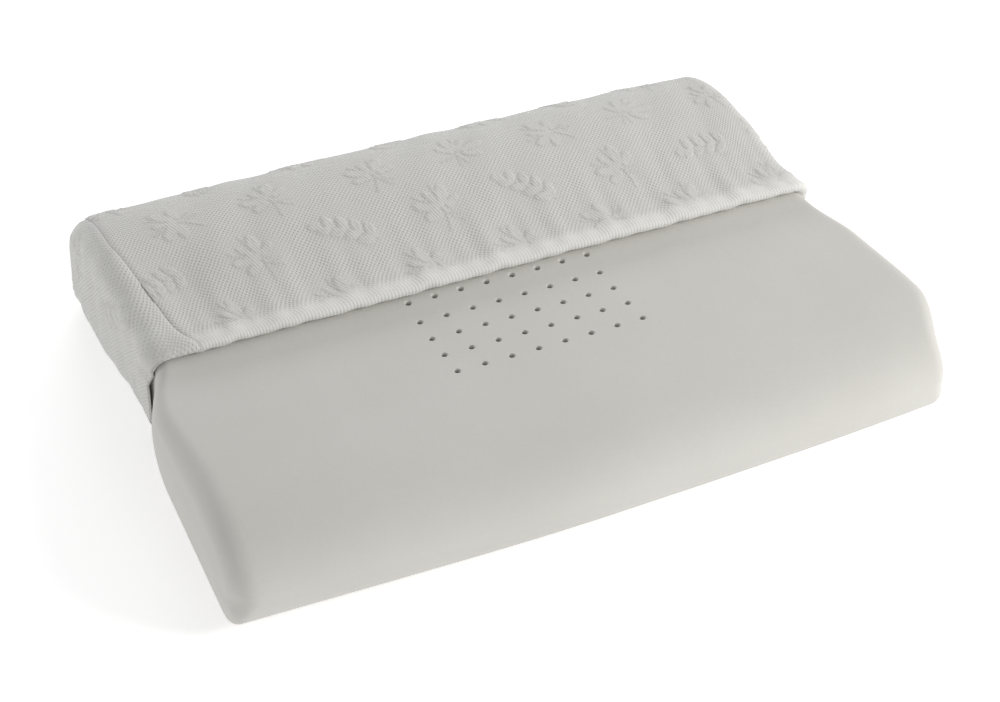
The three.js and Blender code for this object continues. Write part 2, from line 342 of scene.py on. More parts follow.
def relax(points):
    """Bows the front edge, crowns the back lobe and tucks in its ends, widens the bare foam, squeezes
    it at the cover's opening and dents its top there. Core and cover move together by it."""
    x, y, z = (points[..., i] for i in range(3))
    middle = 1 - np.clip(x / HALF_LENGTH, -1, 1) ** 2
    frontness = smooth((VALLEY_Y - y) / (VALLEY_Y - FRONT))
    backness = smooth((y - VALLEY_Y) / (BACK_CREST_Y - VALLEY_Y))
    height = np.clip(z / CREST_HEIGHT, 0, 1)
    moved = points.copy()
    corner = smooth(np.abs(x) / HALF_LENGTH) * np.where(x < 0, LEFT_RECESS, RIGHT_RECESS)
    moved[..., 1] += (corner - FRONT_BOW * middle) * frontness
    moved[..., 2] += BACK_CROWN * middle * backness * height ** 2
    outer = smooth((np.abs(x) / HALF_LENGTH - 0.5) / 0.5)
    ahead = smooth((FOLD_Y - y) / SPREAD_REACH) * outer
    past_crest = smooth((FRONT_CREST_Y + SPREAD_LOSS_FROM - y) / SPREAD_LOSS_RAMP)
    right_spread = RIGHT_SPREAD * (1 - SPREAD_LOSS * past_crest)
    moved[..., 0] += np.where(x > 0, right_spread, -LEFT_SPREAD) * ahead
    reach = np.where(y < FOLD_Y, SQUEEZE_AHEAD, SQUEEZE_BEHIND)
    drawn_in = np.exp(-((y - FOLD_Y) / reach) ** 2) * outer
    under_cover = smooth((y - FOLD_Y + UNDER_COVER_AHEAD) / UNDER_COVER_RAMP)
    moved[..., 0] += np.where(x < 0, LEFT_SQUEEZE, -RIGHT_SQUEEZE * under_cover) * drawn_in
    near_end = smooth((np.abs(x) - HALF_LENGTH + TUCK_REACH) / TUCK_REACH)
    moved[..., 0] += np.where(x > 0, -RIGHT_TUCK, LEFT_TUCK) * near_end * backness * height
    dimple_x = (x + HALF_LENGTH - DIMPLE_FROM_END) / DIMPLE_REACH_X
    dimple_y = (y - FOLD_Y - DIMPLE_FROM_FOLD) / DIMPLE_REACH_Y
    moved[..., 2] -= DIMPLE * np.exp(-dimple_x ** 2 - dimple_y ** 2) * height
    uneven = waves(x, y, UNEVEN_WAVES)
    moved[..., 2] += UNEVENNESS * uneven * height
    return moved


def grid_normals(grid):
    """Unit normals of a rows x columns x 3 grid, by central differences."""
    along_rows = np.gradient(grid, axis=0)
    along_columns = np.gradient(grid, axis=1)
    normal = np.cross(along_rows, along_columns)
    length = np.linalg.norm(normal, axis=2, keepdims=True)
    return normal / np.maximum(length, 1e-9)


# ---------------------------------------------------------------- meshes

def add_object(name, data):
    """A new object in the scene."""
    obj = bpy.data.objects.new(name, data)
    bpy.context.scene.collection.objects.link(obj)
    return obj


def add_mesh(name, vertices, faces, body, materials):
    """A smooth mesh that rides on a body, from vertices in millimetres."""
    mesh = bpy.data.meshes.new(name)
    mesh.from_pydata((np.asarray(vertices) * MM).tolist(), [], [list(face) for face in faces])
    mesh.update()
    obj = add_object(name, mesh)
    for material in materials:
        mesh.materials.append(material)
    mesh.polygons.foreach_set("use_smooth", np.ones(len(mesh.polygons), dtype=bool))
    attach(obj, body)
    return obj


def set_attribute(obj, name, kind, field, values):
    """Gives each vertex a value that a material can read."""
    attribute = obj.data.attributes.new(name, kind, "POINT")
    attribute.data.foreach_set(field, np.asarray(values, dtype=np.float32))


def quad_faces(rows, columns, start=0, closed_columns=False):
    """Quads of a rows x columns grid of vertices that begins at vertex number start. They face the
    way that the cross product of a step down the rows and a step along the columns points."""
    across = columns if closed_columns else columns - 1
    row = np.arange(rows - 1)[:, None]
    column = np.arange(across)[None, :]
    after = (column + 1) % columns
    corner = start + row * columns + column
    beside = start + row * columns + after
    return np.stack([corner, corner + columns, beside + columns, beside], axis=2).reshape(-1, 4)


def grid_edge(index):
    """The vertices round a grid, in order."""
    return np.concatenate([index[0, :], index[1:, -1], index[-1, -2::-1], index[-2:0:-1, 0]])


def cloth_solid(name, middle, raised, place, materials, near, shared_end=False):
    """A closed sheet of cloth round its middle surface. raised lifts its outer side, place is each
    point's place on the flat cloth in millimetres, and near is its nearness to a motif. With
    shared_end, the last column's upper and lower halves are the same points, as where an end panel
    closes round the back."""
    rows, columns = middle.shape[:2]
    normal = grid_normals(middle)
    index = np.arange(rows * columns).reshape(rows, columns)
    edge = grid_edge(index)
    if shared_end:
        upper = rows // 2
        mean = normal[:, -1] + normal[::-1, -1]
        mean[upper] = mean[upper - 1] + mean[upper + 1]
        normal[:, -1] = mean / np.linalg.norm(mean, axis=1, keepdims=True)
        index[upper + 1:, -1] = index[:upper, -1][::-1]
        edge = np.concatenate([index[0, :], index[-1, -2::-1], index[-2:0:-1, 0]])
    half = CLOTH_THICKNESS / 2
    outer = middle + normal * (half + raised)[..., None]
    inner = middle - normal * half
    count = rows * columns
    vertices = np.concatenate([outer.reshape(-1, 3), inner.reshape(-1, 3)])
    top = np.stack([index[:-1, :-1], index[1:, :-1], index[1:, 1:], index[:-1, 1:]], axis=2)
    top = top.reshape(-1, 4)
    after = np.roll(edge, -1)
    rim = np.stack([edge, after, after + count, edge + count], axis=1)
    faces = np.concatenate([top, top[:, ::-1] + count, rim])
    obj = add_mesh(name, vertices, faces, "cover", materials)
    set_attribute(obj, "raised", "FLOAT", "value", np.r_[raised.ravel(), np.zeros(count)])
    flat = np.concatenate([place, np.zeros((rows, columns, 1))], axis=2).reshape(-1, 3)
    both = np.concatenate([flat, flat]).ravel()
    set_attribute(obj, "cloth_place", "FLOAT_VECTOR", "vector", both)
    set_attribute(obj, "near_motif", "FLOAT", "value", np.r_[near.ravel(), near.ravel()])
    drop_loose_points(obj)
    return obj


def drop_loose_points(obj):
    """Deletes vertices that no face uses, which a shared end leaves behind."""
    shape = bmesh.new()
    shape.from_mesh(obj.data)
    loose = [vertex for vertex in shape.verts if not vertex.link_faces]
    bmesh.ops.delete(shape, geom=loose, context="VERTS")
    shape.to_mesh(obj.data)
    shape.free()


# ---------------------------------------------------------------- foam core

def end_round(line, front_round):
    """How far each point of the section is rounded off at one of the core's ends."""
    towards_front = smooth((FOLD_Y - FRONT_ROUND_AHEAD - line[:, 0]) / FRONT_ROUND_RAMP)
    above_floor = smooth((line[:, 1] - FLOOR_ROUND_HEIGHT) / FLOOR_ROUND_RAMP)
    rounding = END_ROUND + (front_round - END_ROUND) * towards_front * above_floor
    return rounding * (FLOOR_ROUND_SHARE + (1 - FLOOR_ROUND_SHARE) * above_floor)


def core_rings():
    """Rings round the core from its left end to its right end."""
    line = section()
    normal = outward(line)
    left, right = (end_round(line, size) for size in (LEFT_FRONT_ROUND, RIGHT_FRONT_ROUND))
    rings = []

    def ring(x, inset):
        rings.append(np.column_stack([x, line - normal * inset[:, None]]))

    turn = np.linspace(math.pi / 2, 0, END_ARC_RINGS)
    for angle in turn:
        ring(left * (1 - math.sin(angle)) - HALF_LENGTH, left * (1 - math.cos(angle)))
    for share in np.linspace(0, 1, LENGTH_RINGS)[1:-1]:
        ring((1 - share) * (left - HALF_LENGTH) + share * (HALF_LENGTH - right), 0 * left)
    for angle in turn[::-1]:
        ring(HALF_LENGTH - right * (1 - math.sin(angle)), right * (1 - math.cos(angle)))
    return np.array(end_rings(rings[0], -1)[::-1] + rings + end_rings(rings[-1], 1))


def end_rings(rim, side):
    """Rings from the rim of an end face in to its middle line, slightly crowned."""
    middle_y = np.clip(rim[:, 1], FRONT + END_FACE_CORE, BACK - END_FACE_CORE)
    middle = np.column_stack([rim[:, 0], middle_y, 0 * middle_y + END_MIDDLE_HEIGHT])
    rings = []
    for filled in np.linspace(0, 0.97, END_FACE_RINGS)[1:]:
        ring = rim + (middle - rim) * filled
        ring[:, 0] += side * END_CROWN * filled * (2 - filled)
        rings.append(ring)
    return rings


def zipped(along, start):
    """Triangles that close a long thin ring of vertices, numbered on from start, from its lowest
    place along to its highest."""
    count = len(along)
    first, last = int(np.argmin(along)), int(np.argmax(along))
    ahead = [(first + i) % count for i in range((last - first) % count + 1)]
    back = [(first - i) % count for i in range((first - last) % count + 1)]
    faces = [(ahead[0], ahead[1], back[1])]
    i = j = 1
    while i < len(ahead) - 1 or j < len(back) - 1:
        if j == len(back) - 1 or (i < len(ahead) - 1 and along[ahead[i + 1]] <= along[back[j + 1]]):
            faces.append((ahead[i], ahead[i + 1], back[j]))
            i += 1
        else:
            faces.append((ahead[i], back[j + 1], back[j]))
            j += 1
    return [[start + corner for corner in face] for face in faces if len(set(face)) == 3]


def surface_height(y):
    """The height of the core's top at a place from front to back."""
    line = section(point_count=1600)
    crest_part = line[line[:, 1] > VALLEY_HEIGHT / 2]
    order = np.argsort(crest_part[:, 0])
    return float(np.interp(y, crest_part[order, 0], crest_part[order, 1]))


def vent_cutters():
    """One mesh of round rods through the core, each flared at its mouth."""
    sides = VENT_SIDES
    angle = np.linspace(0, 2 * math.pi, sides, endpoint=False)
    vertices = []
    faces = []
    first_y = FOLD_Y - VENT_TO_FOLD - VENT_PITCH * (VENT_ROWS_SHOWING - 1)
    for row in range(VENT_ROWS):
        for column in range(VENT_COLUMNS):
            x = (column - (VENT_COLUMNS - 1) / 2) * VENT_PITCH
            y = first_y + row * VENT_PITCH
            mouth = relax(np.array([[x, y, surface_height(y)]]))[0]
            rings = [(VENT_RADIUS, -VENT_CUT_BELOW)]
            for step in range(VENT_MOUTH_STEPS):
                turn = step / (VENT_MOUTH_STEPS - 1) * math.pi / 2
                flare = (VENT_MOUTH_RADIUS - VENT_RADIUS) * (1 - math.cos(turn))
                depth = VENT_MOUTH_DEPTH * (1 - math.sin(turn))
                rings.append((VENT_RADIUS + flare, mouth[2] - depth))
            rings.append((VENT_MOUTH_RADIUS + VENT_LIP, mouth[2] + VENT_LIP_HEIGHT))
            rings.append((VENT_MOUTH_RADIUS + VENT_LIP, mouth[2] + VENT_CUT_ABOVE))
            start = len(vertices)
            for radius, height in rings:
                for turn in angle:
                    vertices.append((mouth[0] + radius * math.cos(turn),
                                     mouth[1] + radius * math.sin(turn), height))
            walls = quad_faces(len(rings), sides, start, closed_columns=True)[:, ::-1]
            faces.extend(walls.tolist())
            faces.append(list(range(start + sides - 1, start - 1, -1)))
            last = start + (len(rings) - 1) * sides
            faces.append(list(range(last, last + sides)))
    return vertices, faces


def cut(obj, vertices, faces):
    """Takes a closed shape out of an object's mesh."""
    mesh = bpy.data.meshes.new("cutter")
    mesh.from_pydata((np.asarray(vertices) * MM).tolist(), [], faces)
    cutter = add_object("cutter", mesh)
    modifier = obj.modifiers.new("cut", "BOOLEAN")
    modifier.operation = "DIFFERENCE"
    modifier.solver = "MANIFOLD"
    modifier.object = cutter
    bpy.context.view_layer.objects.active = obj
    obj.select_set(True)
    bpy.ops.object.modifier_apply(modifier=modifier.name)
    obj.select_set(False)
    bpy.data.objects.remove(cutter, do_unlink=True)
    bpy.data.meshes.remove(mesh)


def apply_weighted_normals(obj):
    """Keeps the large faces' shading even where small ones meet them."""
    modifier = obj.modifiers.new("normals", "WEIGHTED_NORMAL")
    modifier.keep_sharp = True
    bpy.context.view_layer.objects.active = obj
    bpy.ops.object.modifier_apply(modifier=modifier.name)


def add_core(material):
    """The foam block, with its vents and the dent that the zip slider presses."""
    rings = relax(core_rings())
    count, around = rings.shape[:2]
    faces = quad_faces(count, around, closed_columns=True).tolist()
    faces.extend(zipped(rings[0, :, 1], 0))
    faces.extend(face[::-1] for face in zipped(rings[-1, :, 1], (count - 1) * around))
    core = add_mesh("foam_block", rings.reshape(-1, 3), faces, "core", [material])
    cut(core, *vent_cutters())
    cut(core, *box_shape(*slider_hollow()))
    core.data.polygons.foreach_set("use_smooth", np.ones(len(core.data.polygons), dtype=bool))
    core.data.set_sharp_from_angle(angle=math.radians(50))
    apply_weighted_normals(core)
    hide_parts("foam_core")


def slider_hollow():
    """Opposite corners of the dent that the zip slider and its pull press into the foam."""
    room = 0.6
    past_back = 10
    slider_low, slider_high = (np.array(corner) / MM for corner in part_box("zip_slider"))
    pull_low, _ = (np.array(corner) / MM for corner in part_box("zip_pull"))
    low = np.array([pull_low[0] - room, slider_low[1] - room, slider_low[2] - room])
    high = np.array([slider_high[0] + room, BACK + past_back, slider_high[2] + room])
    return low, high


def box_shape(low, high):
    """The vertices and faces of a box between two opposite corners."""
    spans = list(zip(low, high))
    corners = [(x, y, z) for z in spans[2] for y in spans[1] for x in spans[0]]
    faces = [[0, 2, 3, 1], [4, 5, 7, 6], [0, 1, 5, 4], [2, 6, 7, 3], [0, 4, 6, 2], [1, 3, 7, 5]]
    return corners, faces


# ---------------------------------------------------------------- raised pattern of the knit

def lobe(x, y, length, width):
    """A rounded petal from the origin along +X: a low cushion with a raised rim."""
    along = (x - 0.55 * length) / (0.45 * length)
    across = y / (width * (0.62 + 0.38 * np.clip(x / length, 0, 1)))
    from_rim = 1 - np.hypot(along, across)
    inside = smooth(from_rim / 0.3)
    rim = smooth(1 - np.abs(from_rim - 0.28) / 0.28)
    return inside * (0.6 + 0.4 * rim)


def leaf(x, y, length, width):
    """A pointed leaf from the origin along +X, with a sunken midrib."""
    along = np.clip(x / length, 0, 1)
    half = width * np.sin(math.pi * along ** 0.8) ** 0.9
    within = (x > 0) & (x < length)
    inside = smooth((half - np.abs(y)) / (0.25 * width)) * within
    midrib = smooth(1 - np.abs(y) / (0.16 * width))
    return inside * (1 - 0.7 * midrib)


def stem(x, y, length, bend):
    """A thin raised line from the origin along +X, bending sideways."""
    along = np.clip(x / length, 0, 1)
    middle = bend * along ** 2
    within = smooth((x + 1) / 2) * smooth((length - x + 1) / 2)
    return 0.8 * smooth(1 - np.abs(y - middle) / 1.3) * within


def turned(x, y, centre_x, centre_y, angle):
    """Places counted from a centre, in axes turned by an angle."""
    dx, dy = x - centre_x, y - centre_y
    return dx * math.cos(angle) + dy * math.sin(angle), dy * math.cos(angle) - dx * math.sin(angle)


def flower_spray(x, y):
    """Four petals fanned from a point, with thin stems between and below them."""
    height = np.zeros_like(x)
    for angle, length, width in PETALS:
        height = np.maximum(height, lobe(*turned(x, y, -6, 0, angle), length, width))
    for angle, length, bend in STEMS:
        height = np.maximum(height, stem(*turned(x, y, -6, 0, angle), length, bend))
    return height


def leaf_sprig(x, y):
    """A curved stem with leaves on both sides and a petal at its tip."""
    foot = -24
    height = stem(x - foot, y, SPRIG_LENGTH, SPRIG_BEND)
    for i in range(SPRIG_LEAVES):
        start = foot + 4 + SPRIG_LEAF_STEP * i
        middle = SPRIG_BEND * ((start - foot) / SPRIG_LENGTH) ** 2
        for side in (-1, 1):
            height = np.maximum(height, leaf(*turned(x, y, start, middle, side * 0.8), 17 - i, 4.4))
    return np.maximum(height, lobe(*turned(x, y, 19, 6, 0.5), 13, 5))


def knit_relief(along_x, along_cloth):
    """Motif height from 0 to 1, and how near a motif each point is, on the flat cloth."""
    height = np.zeros_like(along_x)
    near = np.zeros_like(along_x)
    random = np.random.default_rng(MOTIF_SEED)
    rows = int(math.ceil(along_cloth.max() / MOTIF_PITCH_Y)) + 1
    columns = int(math.ceil((along_x.max() - along_x.min()) / MOTIF_PITCH_X)) + 2
    for row in range(rows):
        for column in range(columns):
            shift = 0.5 * (row % 2)
            jitter_x, jitter_y, turn = random.uniform(-1, 1, 3)
            centre_x = along_x.min() + (column + shift - 0.3) * MOTIF_PITCH_X + MOTIF_SHIFT_X * jitter_x
            centre_y = (row + 0.25) * MOTIF_PITCH_Y + MOTIF_SHIFT_Y * jitter_y
            angle = MOTIF_ANGLE + MOTIF_TURN * turn + (0.6 if (row + column) % 2 else -0.5)
            close = np.hypot(along_x - centre_x, along_cloth - centre_y) < MOTIF_REACH
            x, y = turned(along_x[close], along_cloth[close], centre_x, centre_y, angle)
            motif = leaf_sprig(x, y) if (row + 2 * column) % 4 == 1 else flower_spray(x, y)
            height[close] = np.maximum(height[close], motif)
            near[close] = np.maximum(near[close], smooth((NEAR_REACH - np.hypot(x, y)) / NEAR_RAMP))
    return height, near


# ---------------------------------------------------------------- knitted cover

def hairpin(reach_in, reach_out, rise, fine):
    """The cloth's path over its folded edge, seen from the side: distance behind the fold, height of
    the cloth's middle over the foam, and length along the cloth. It starts at the turned-in end."""
    radius = FOLD_RADIUS
    top = OUTER_OFFSET + rise
    inner = np.arange(reach_in, radius, -TURNED_IN_STEP)
    turn = np.linspace(-math.pi / 2, math.pi / 2, FOLD_POINTS)
    middle, half = (top + INNER_OFFSET) / 2, (top - INNER_OFFSET) / 2
    outer = np.arange(radius, reach_out, fine)[1:]
    outer = np.append(outer, reach_out)
    behind = np.concatenate([inner, radius - radius * np.cos(turn), outer])
    slack = 1 - smooth((outer - radius) / FOLD_RISE_REACH)
    turned_in = np.full(len(inner), INNER_OFFSET)
    over = np.concatenate([turned_in, middle + half * np.sin(turn), OUTER_OFFSET + rise * slack])
    length = np.r_[0, np.cumsum(np.hypot(np.diff(behind), np.diff(over)))]
    return behind, over, length


class Profile:
    """A line in Y and Z with its outward normals, by distance from its start."""

    def __init__(self, line, side):
        self.line = line
        self.along = np.r_[0, np.cumsum(np.hypot(*np.diff(line, axis=0).T))]
        tangent = np.gradient(line, axis=0)
        normal = np.c_[-tangent[:, 1], tangent[:, 0]] * side
        self.normal = normal / np.linalg.norm(normal, axis=1)[:, None]
        self.length = float(self.along[-1])

    def points(self, distance):
        found = [np.interp(distance, self.along, self.line[:, i]) for i in range(2)]
        return np.stack(found, axis=-1)

    def normals(self, distance):
        facing = [np.interp(distance, self.along, self.normal[:, i]) for i in range(2)]
        facing = np.stack(facing, axis=-1)
        return facing / np.linalg.norm(facing, axis=-1, keepdims=True)

    def distance_at_height(self, height):
        """How far along the line it passes a height on the back face."""
        behind = self.line[:, 0] > BACK_CREST_Y
        nearest = np.where(behind, np.abs(self.line[:, 1] - height), np.inf)
        return float(self.along[int(np.argmin(nearest))])


def upper_and_lower_profiles():
    """From the fold to the middle of the back face: over the back lobe, and underneath."""
    line = section(point_count=3200)
    peak = int(np.argmax(line[:, 1]))
    back_middle = peak + int(np.argmax(line[peak:, 1] < BACK_MIDDLE_HEIGHT))
    start = int(np.argmax((line[:, 0] >= FOLD_Y) & (line[:, 1] > VALLEY_HEIGHT / 2)))
    end = back_middle + int(np.argmax(line[back_middle:, 0] < FOLD_Y))
    return Profile(line[start:back_middle + 1], 1), Profile(line[back_middle:end][::-1], -1)


UPPER, LOWER = upper_and_lower_profiles()


def seam_reach(side, profile, distance):
    """How far the cloth reaches from the pillow's middle to an end seam, measured over the rounded
    edge. On top, the left seam is drawn in towards the opening and the right one lies low; both
    halves come together at the middle of the back."""
    low = RIGHT_SEAM_LOW if side > 0 else 0
    at_back = SEAM_X + 0.5 * low
    reach = SEAM_X + 0 * distance
    if profile is UPPER and side > 0:
        reach = reach + low
    if profile is UPPER and side < 0:
        drawn = np.clip(1 - distance / SEAM_DRAWN_FROM, 0, 1)
        corner = np.exp(-(distance / FOLD_CORNER_REACH) ** 2)
        reach = reach - SEAM_DRAWN * drawn - FOLD_CORNER_DRAWN * corner
    joined = smooth((distance / profile.length - SEAMS_JOIN_FROM) / (1 - SEAMS_JOIN_FROM))
    return reach + (at_back - reach) * joined


def wrapped(across, over):
    """X, and height over the section, of cloth that lies at a distance across from the pillow's
    middle and at a height over the foam. It follows the rounded ends."""
    flat = HALF_LENGTH - END_ROUND
    turn = np.clip((np.abs(across) - flat) / END_ROUND, 0, math.pi / 2)
    x = np.minimum(np.abs(across), flat) + (END_ROUND + over) * np.sin(turn)
    return np.sign(across) * x, (END_ROUND + over) * np.cos(turn) - END_ROUND


def seam_dip(distance):
    """How far cloth is drawn in, at a distance from its seam."""
    return SEAM_DIP * np.exp(-(distance / SEAM_SOFTNESS) ** 2)


def long_panel_columns(step):
    """X from the right seam to the left one."""
    steps = int(round(2 * SEAM_X / step))
    return np.linspace(SEAM_X, -SEAM_X, steps + 1)


def fold_forward(behind):
    """How far the fold is pulled forwards over the foam, fading out behind it."""
    return FOLD_FORWARD * np.exp(-(behind / FOLD_FORWARD_REACH) ** 2)


def panel_between_seams(profile, behind, over, across):
    """Middle surface of a cloth that spans the pillow's length, in rows along a profile and columns
    across it from seam to seam."""
    from_seam = np.minimum(np.abs(across - across[:, :1]), np.abs(across - across[:, -1:]))
    x, lift = wrapped(across, over - seam_dip(from_seam))
    flat = profile.points(behind) + profile.normals(behind) * lift[..., None]
    return relax(np.concatenate([x[..., None], flat], axis=2))


def across_cloth(columns, left, right):
    """Distances across from the pillow's middle, for columns that spread out evenly between the
    seams where they reach left and right."""
    share = (columns + SEAM_X) / (2 * SEAM_X)
    return share * (left + right) - left


def cloth_places(columns, length):
    """Each point's place on the flat cloth."""
    return np.stack(np.meshgrid(columns, length), axis=-1)


def add_top_panel(materials):
    """The outer cloth over the back lobe, its folded edge and the cloth turned in under it."""
    reach = UPPER.distance_at_height(UPPER_SEAM_Z)
    behind, over, length = hairpin(TURNED_IN, reach, FOLD_RISE, FINE_STEP)
    columns = long_panel_columns(FINE_STEP)
    place = cloth_places(columns, length)
    left, right = (seam_reach(side, UPPER, behind)[:, None] for side in (-1, 1))
    across = across_cloth(columns, left, right)
    far = behind[:, None] + 0 * across
    fold = int(np.argmin(behind))
    shown = (np.arange(len(behind)) > fold)[:, None]
    height, near = knit_relief(place[..., 0], place[..., 1] - length[fold])
    slack = np.exp(-(far / EDGE_WAVE_REACH) ** 2)
    soft = waves(across, far, SLACK_WAVES)
    edge_wave = waves(across, far, EDGE_WAVES)
    lift = over[:, None] + shown * (SLACK_WAVE * soft + EDGE_WAVE * edge_wave * slack)
    lift = lift - seam_dip(reach - far) * shown
    far = far + EDGE_WAVE * edge_wave * slack
    middle = panel_between_seams(UPPER, far, lift, across)
    middle[..., 1] -= fold_forward(behind)[:, None]
    # The band along the fold carries its ribs, keeps motifs off it and takes a painted highlight.
    from_edge = np.abs(place[..., 1] - length[fold])
    band = 1 - smooth((from_edge - FOLD_BAND) / (FOLD_BAND_FADE * FOLD_BAND))
    raised = MOTIF_HEIGHT * height * shown * (1 - band)
    panel = cloth_solid("top_panel", middle, raised, place, materials, near)
    set_attribute(panel, "fold_band", "FLOAT", "value", np.r_[band.ravel(), band.ravel()])
    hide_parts("cover_top_panel")


def add_bottom_panel(materials):
    """The plain cloth underneath, folded and turned in like the top panel."""
    reach = LOWER.distance_at_height(LOWER_SEAM_Z)
    behind, over, length = hairpin(TURNED_IN, reach, 0, COARSE_STEP)
    columns = long_panel_columns(4 * FINE_STEP)[::-1]
    place = cloth_places(columns, length)
    left, right = (seam_reach(side, LOWER, behind)[:, None] for side in (-1, 1))
    across = across_cloth(columns, left, right)
    middle = panel_between_seams(LOWER, behind[:, None] + 0 * across, over[:, None], across)
    none = 0 * place[..., 0]
    panel = cloth_solid("bottom_panel", middle, none, place, materials, none)
    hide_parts("cover_bottom_panel")


def add_back_panel(materials):
    """The low cloth between the two back seams."""
    upper_reach = UPPER.distance_at_height(UPPER_SEAM_Z)
    lower_reach = LOWER.distance_at_height(LOWER_SEAM_Z)
    on_upper = np.linspace(upper_reach, UPPER.length, BACK_ROWS)
    on_lower = np.linspace(LOWER.length, lower_reach, BACK_ROWS)[1:]
    profile = Profile(np.concatenate([UPPER.points(on_upper), LOWER.points(on_lower)]), 1)
    behind = profile.along
    left, right = (
        np.r_[seam_reach(side, UPPER, on_upper), seam_reach(side, LOWER, on_lower)][:, None]
        for side in (-1, 1))
    columns = long_panel_columns(2 * FINE_STEP)
    dips = seam_dip(behind) + seam_dip(profile.length - behind)
    place = cloth_places(columns, behind)
    across = across_cloth(columns, left, right)
    over = (OUTER_OFFSET - dips)[:, None]
    middle = panel_between_seams(profile, behind[:, None] + 0 * across, over, across)
    height, near = knit_relief(place[..., 0], place[..., 1])
    panel = cloth_solid("back_panel", middle, MOTIF_HEIGHT * height, place, materials, near)
    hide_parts("cover_back_panel")


def end_surface(behind, side):
    """The pillow's end at offset 0 as rows from the upper seam, across the end face, to the lower
    seam. Columns are at given distances behind the fold. Also gives each point's place on the flat
    cloth, and each row's distance from the upper seam."""
    share = behind / UPPER.length
    lower = share * LOWER.length
    centre_y = FOLD_Y + share * (BACK - END_FACE_CORE - FOLD_Y)
    centre = np.stack([centre_y, BACK_MIDDLE_HEIGHT + 0 * share], axis=-1)
    edge = HALF_LENGTH - END_ROUND + END_ROUND * math.pi / 2
    halves = []
    flat_halves = []
    for profile, distance in ((UPPER, behind), (LOWER, lower)):
        point, facing = profile.points(distance), profile.normals(distance)
        seam = seam_reach(side, profile, distance)
        rim = point - facing * END_ROUND
        half = []
        flat = []
        for turned_over in np.linspace(0, 1, END_ARC_ROWS)[:-1]:
            across = seam + (edge - seam) * turned_over
            x, lift = wrapped(across, 0)
            half.append(np.column_stack([side * x, point + facing * lift[:, None]]))
            flat.append(rim + facing * (edge - across)[:, None])
        for filled in np.linspace(0, 1, END_FACE_ROWS):
            inward = rim + (centre - rim) * filled
            half.append(np.column_stack([np.full(len(rim), side * HALF_LENGTH), inward]))
            flat.append(inward)
        halves.append(np.array(half))
        flat_halves.append(np.array(flat))
    surface = np.concatenate([halves[0], halves[1][-2::-1]])
    flat = np.concatenate([flat_halves[0], flat_halves[1][-2::-1]])
    step = np.linalg.norm(np.diff(surface[:, len(behind) // 2], axis=0), axis=1)
    return surface, flat, np.r_[0, np.cumsum(step)]


def at_columns(grid, places):
    """A grid's columns at fractional column numbers."""
    low = np.clip(np.floor(places).astype(int), 0, grid.shape[1] - 2)
    share = (places - low)[None, :, None]
    return grid[:, low] * (1 - share) + grid[:, low + 1] * share


def distance_from_seams(grid):
    """Each point's distance from the nearer end of its column."""
    steps = np.linalg.norm(np.diff(grid, axis=0), axis=-1)
    down = np.concatenate([0 * steps[:1], np.cumsum(steps, axis=0)])
    return np.minimum(down, down[-1] - down)


def add_end_panel(name, node, side, bulge, flare, materials):
    """The cloth over one end of the pillow, gathered between the end seam's two halves."""
    behind, over, length = hairpin(END_TURNED_IN, UPPER.length, 0, END_STEP)
    _, over_raised, _ = hairpin(END_TURNED_IN, UPPER.length, FOLD_RISE, END_STEP)
    samples = END_COLUMNS
    base, place, down = end_surface(np.linspace(0, UPPER.length, samples), side)
    facing = grid_normals(base)
    if facing[len(base) // 4, samples // 2, 0] * side < 0:
        facing = -facing
    places = behind / UPPER.length * (samples - 1)
    base, facing, place = (at_columns(grid, places) for grid in (base, facing, place))
    fold = int(np.argmin(behind))
    shown = (np.arange(len(behind)) > fold)[None, :]
    turned_in = place[:, fold:fold + 1] - [1, 0] * (length[fold] - length[:fold])[:, None]
    place = np.concatenate([turned_in, place[:, fold:]], axis=1)
    from_seam = distance_from_seams(base)
    along = down[:, None]
    free = smooth(from_seam / HELD_BY_SEAM)
    share = np.clip(behind / (BACK - FOLD_Y), 0, 1)[None, :]
    full = bulge * share * (2 - share) * np.abs(facing[..., 0])
    stands_off = smooth((along - FLARE_FROM) / FLARE_RAMP) * smooth((down[-1] - along) / FLARE_FOOT)
    flared = flare * stands_off * facing[..., 0] ** 2 * np.exp(-behind / FLARE_REACH)[None, :]
    wrinkle = waves(place[..., 0], place[..., 1], END_WAVES)
    wrinkle = wrinkle * (END_WRINKLE + END_WRINKLE * np.exp(-behind / END_WRINKLE_REACH)[None, :])
    raise_share = np.exp(-(along / FOLD_RISE_DOWN) ** 2)
    lift = over * (1 - raise_share) + over_raised * raise_share
    filled = full * (FULL_AT_SEAM + (1 - FULL_AT_SEAM) * free)
    lift = lift + flared + shown * (filled + wrinkle * free)
    lift = lift - seam_dip(from_seam)
    middle = relax(base + facing * lift[..., None])
    middle[..., 1] -= fold_forward(behind) * np.exp(-(along / FOLD_FORWARD_REACH) ** 2)
    height, near = knit_relief(place[..., 0], place[..., 1])
    raised = END_MOTIF_SHARE * MOTIF_HEIGHT * height * shown * smooth(from_seam / END_MOTIF_CLEAR)
    if side < 0:
        middle, place, raised, near = middle[::-1], place[::-1], raised[::-1], near[::-1]
    panel = cloth_solid(name, middle, raised, place, materials, near, shared_end=True)
    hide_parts(node)


# ---------------------------------------------------------------- seams

